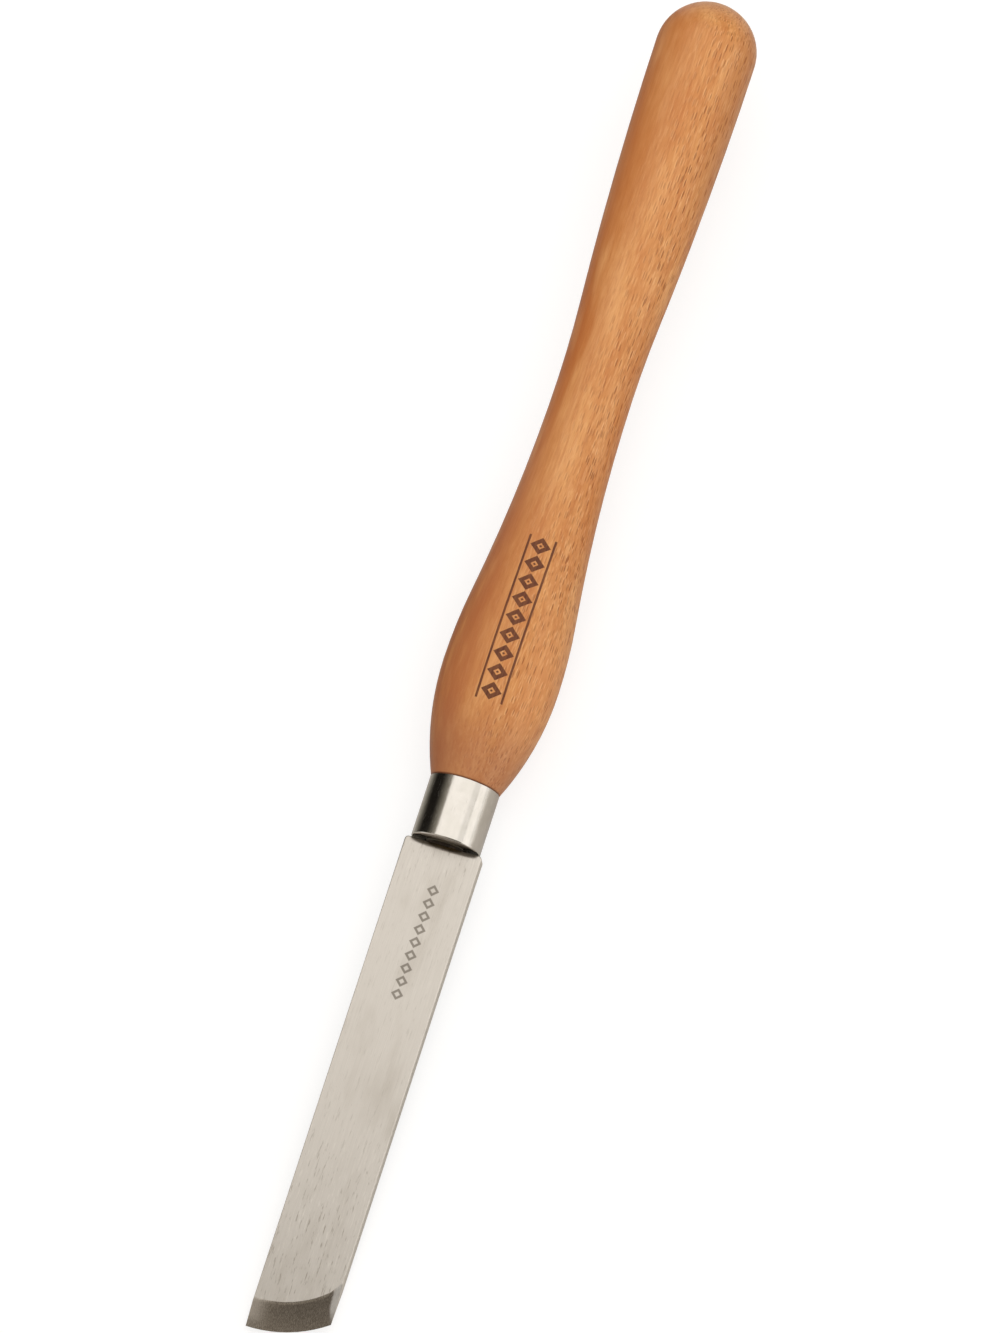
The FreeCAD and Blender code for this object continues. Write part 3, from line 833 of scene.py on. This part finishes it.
flat_roughness = add(tree, "ShaderNodeMapRange", {
    "Value": grind_lines, "From Min": 0.3, "From Max": 0.7, "To Min": 0.28, "To Max": 0.34,
}).outputs["Result"]
bevel_points = either(
    tree, where(tree, (at["Y"], LONG_POINT_Y + 9.0, LONG_POINT_Y + 0.3)),
    where(tree, stoned_corner, 1.3),
)
steel_roughness = add(tree, "ShaderNodeMix", {
    0: on_bevel,
    2: built_up(tree, flat_roughness, ((handled, 0.4, 0.8, 0.05),), (on_side, 0.24)),
    3: built_up(tree, BEVEL_ROUGHNESS, (bevel_points, 0.31)),
}).outputs[0]
print("bevels begin with a roughness of", BEVEL_ROUGHNESS)

# %% [markdown]
# The relief of the flats is their grinding lines, a few thousandths of a millimetre deep. The
# bar's shoulder is rolled over like the heel, and mirrors the dark front of the ferrule there.

# %% High-speed steel: relief
SHOULDER_ROLL_MM, SHOULDER_ROLL_SLOPE = 1.9, 0.50

past_shoulder = add(tree, "ShaderNodeMapRange", {
    "Value": at["X"], "From Min": SHOULDER_X, "From Max": SHOULDER_X + SHOULDER_ROLL_MM,
    "To Min": 1.0, "To Max": 0.0,
}).outputs["Result"]
shoulder_depth = 0.5 * SHOULDER_ROLL_SLOPE * SHOULDER_ROLL_MM
under_ferrule = where(tree, (off_centre, HALF_WIDTH - 1.0, HALF_WIDTH - 2.8))
flat_form = built_up(
    tree, where(tree, grind_lines, 0.006), (grind_flecks, fleck_reach, 0.012),
    (past_shoulder, past_shoulder, under_ferrule, -shoulder_depth),
)
steel_relief = add(tree, "ShaderNodeMix", {
    0: on_bevel, 2: flat_form, 3: built_up(tree, bevel_form, (wheel_lines, 0.008)),
}).outputs[0]
print("shoulder rolled over by", round(shoulder_depth, 2), "mm")

# %% [markdown]
# ## Etched band on the blade
# The blade carries an etched band near the shoulder. It is a smaller row of the same lozenges, a
# few shades darker than the ground steel and a little duller, on the upper flat only.

# %% Etched band
ETCHED_ROW = {"centre": (96.8, 0.8), "turn": -1.0, "step": 4.4, "reach": 4.6, "count": 9}

from_middle, _, extent = lozenge_row(tree, place_mm, **ETCHED_ROW)
upper_flat = where(tree, (above, HALF_THICKNESS - 0.2, HALF_THICKNESS - 0.1))
etched = where(tree, (from_middle, 0.47, 0.41), (from_middle, 0.17, 0.24), extent, upper_flat)
steel_colour = layered(tree, steel_colour, ("#736B60", etched, 0.75))
steel_roughness = built_up(tree, steel_roughness, (etched, 0.08))
print("etched band", round(ETCHED_ROW["step"] * ETCHED_ROW["count"], 1), "mm long")

# %% [markdown]
# The tang, which the handle hides, is as it came from the forge: dark scale instead of a ground
# face. In the corner at the shoulder the flat is painted dark brown, painted shade where the
# ferrule's front stands over it. Just inside the mouth of the ferrule a paler grey with a rounded
# outline is painted on the tang, painted light in a recess that the ferrule shades.

# %% High-speed steel: tang and shader
MOUTH_CURVE = -0.016

scale_patches = drawn_out(tree, place_mm, length=2.5, width=2.0, detail=3.0)
painted_light_mouth = built_up(tree, at["X"], (at["Y"], at["Y"], MOUTH_CURVE))
scale_and_mouth_light_colour = layered(
    tree, "#3B3733",
    ("#5A5048", (scale_patches, 0.35, 0.65)),
    # Paler grey in the mouth of the ferrule: painted light
    ("#A7A69A", (painted_light_mouth, SHOULDER_X - 0.9, SHOULDER_X - 1.4)),
)
on_tang = where(tree, (at["X"], SHOULDER_X + 0.5, SHOULDER_X - 0.2, 0.9))
steel_colour = layered(
    tree, steel_colour,
    # Dark brown in the corner at the shoulder: painted shade
    ("#4A4036", (at["X"], SHOULDER_X + 1.8, SHOULDER_X + 0.5, 0.6), under_ferrule),
    (scale_and_mouth_light_colour, on_tang),
)
finish_piece(blade, tool_steel, steel_relief, strength=1.0, shader={
    "Base Color": steel_colour,
    "Metallic": 1.0,
    "Roughness": built_up(tree, steel_roughness, (on_tang, 0.25)),
})

# %% [markdown]
# ## Ferrule
# The ferrule is a short steel cup, turned, polished and plated. It mirrors nearly everything, so
# its looks are mostly the lights. What makes it real is how the mirror fails: fine rings left by
# the lathe, faint smears that blur it here and there, and a few scratches from years of being put
# down. The rings could be modelled, but they are a thousandth of a millimetre deep, and a bump of
# noise that is squeezed along X shows the same.

# %% Ferrule
RING_MM = 0.16
RING_WANDER = 0.02

bright_steel, tree = new_material("polished_plated_steel")
place_mm = place_in_mm(tree)[0]
rings_at = add(tree, "ShaderNodeMapping", {
    "Vector": place_mm, "Scale": (1 / RING_MM, RING_WANDER, RING_WANDER),
}).outputs[0]
rings = add(tree, "ShaderNodeTexNoise", {
    "Vector": rings_at, "Scale": 1.0, "Detail": 2.0, "Roughness": 0.6,
}).outputs["Fac"]
smears = drawn_out(tree, place_mm, length=5, width=3.5, detail=3.0)
dashes = drawn_out(tree, place_mm, length=4.0, width=0.18, detail=1.0)
scratches = where(tree, (dashes, 0.66, 0.74))
plate_colour = layered(
    tree, "#CFC9BF",
    ("#D6D0C7", (smears, 0.3, 0.7)),
    ("#BDB6AA", (rings, 0.55, 0.80, 0.25)),
    ("#A79F92", scratches, 0.25),
)
plate_roughness = add(tree, "ShaderNodeMapRange", {
    "Value": smears, "From Min": 0.35, "From Max": 0.70, "To Min": 0.14, "To Max": 0.21,
}).outputs["Result"]
plate_relief = built_up(tree, where(tree, rings, 0.0012), (smears, 0.035))
print("lathe rings every", RING_MM, "mm")
finish_piece(ferrule, bright_steel, plate_relief, strength=1.0, shader={
    "Base Color": plate_colour,
    "Metallic": 1.0,
    "Roughness": built_up(tree, plate_roughness, (scratches, 0.15)),
})

# %% [markdown]
# ## Epoxy
# The tang is set in epoxy, which hardens to an amber resin with small bubbles in it. It can only
# be seen from the front, as a narrow ring round the tang inside the ferrule. Resin lets light
# into itself, which a shader can do too, but so thin a ring in so dark a place shows no more than
# its colour and its shine.

# %% Epoxy
BUBBLES_PER_MM = 1.1
BUBBLE_DEPTH_MM = 0.08

resin, tree = new_material("amber_epoxy")
place_mm = place_in_mm(tree)[0]
cloud = drawn_out(tree, place_mm, length=6, width=4)
bubble = add(tree, "ShaderNodeTexVoronoi", {
    "Vector": place_mm, "Scale": BUBBLES_PER_MM, "Randomness": 1.0,
}, feature="F1", distance="EUCLIDEAN").outputs["Distance"]
bubbles = where(tree, (bubble, 0.30, 0.18))
resin_colour = layered(
    tree, "#A9853F", ("#C9AC6C", (cloud, 0.3, 0.7)), ("#E2D3A6", bubbles, 0.5),
)
resin_roughness = add(tree, "ShaderNodeMapRange", {
    "Value": cloud, "From Min": 0.3, "From Max": 0.7, "To Min": 0.18, "To Max": 0.32,
}).outputs["Result"]
resin_relief = where(tree, bubbles, -BUBBLE_DEPTH_MM)
print("bubbles in cells of", round(1 / BUBBLES_PER_MM, 1), "mm")
finish_piece(adhesive, resin, resin_relief, strength=0.6, shader={
    "Base Color": resin_colour,
    "Roughness": resin_roughness,
    "IOR": 1.55,
})

# %% [markdown]
# ## Finish
# The view transform is Standard, so a colour comes out as it was picked.

# %% Finish
view = bpy.context.scene.view_settings
view.view_transform = "Standard"
